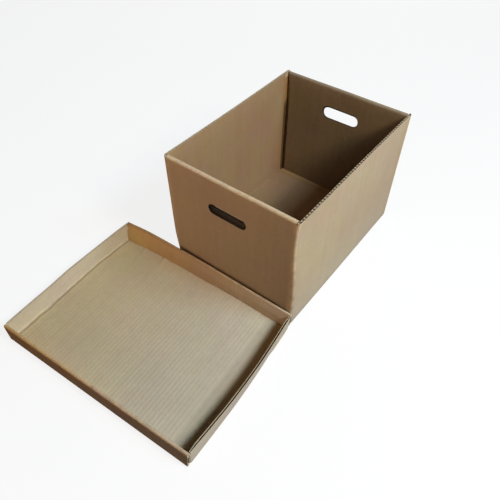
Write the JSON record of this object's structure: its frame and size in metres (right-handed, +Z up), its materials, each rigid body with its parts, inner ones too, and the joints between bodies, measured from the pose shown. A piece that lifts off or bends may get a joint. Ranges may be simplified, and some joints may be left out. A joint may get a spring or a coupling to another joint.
{
  "type": "corrugated storage box with separate lid",
  "caption": "Open corrugated storage box with hand holes in its doubled ends, and its separate folded tray lid lying upside down on the floor in front of it.",
  "frame": {"origin": "middle of the underside of the box, on the floor", "axes": "+Z up, -Y out of the front end of the box towards the lid, +X to the right seen from the front end"},
  "size_m": [0.4974, 0.832, 0.3],
  "materials": {
    "box_board": "matt kraft",
    "lid_board": "matt kraft"
  },
  "bodies": {
    "root": {"box_body": "box_board", "lid": "lid_board"}
  },
  "joints": []
}
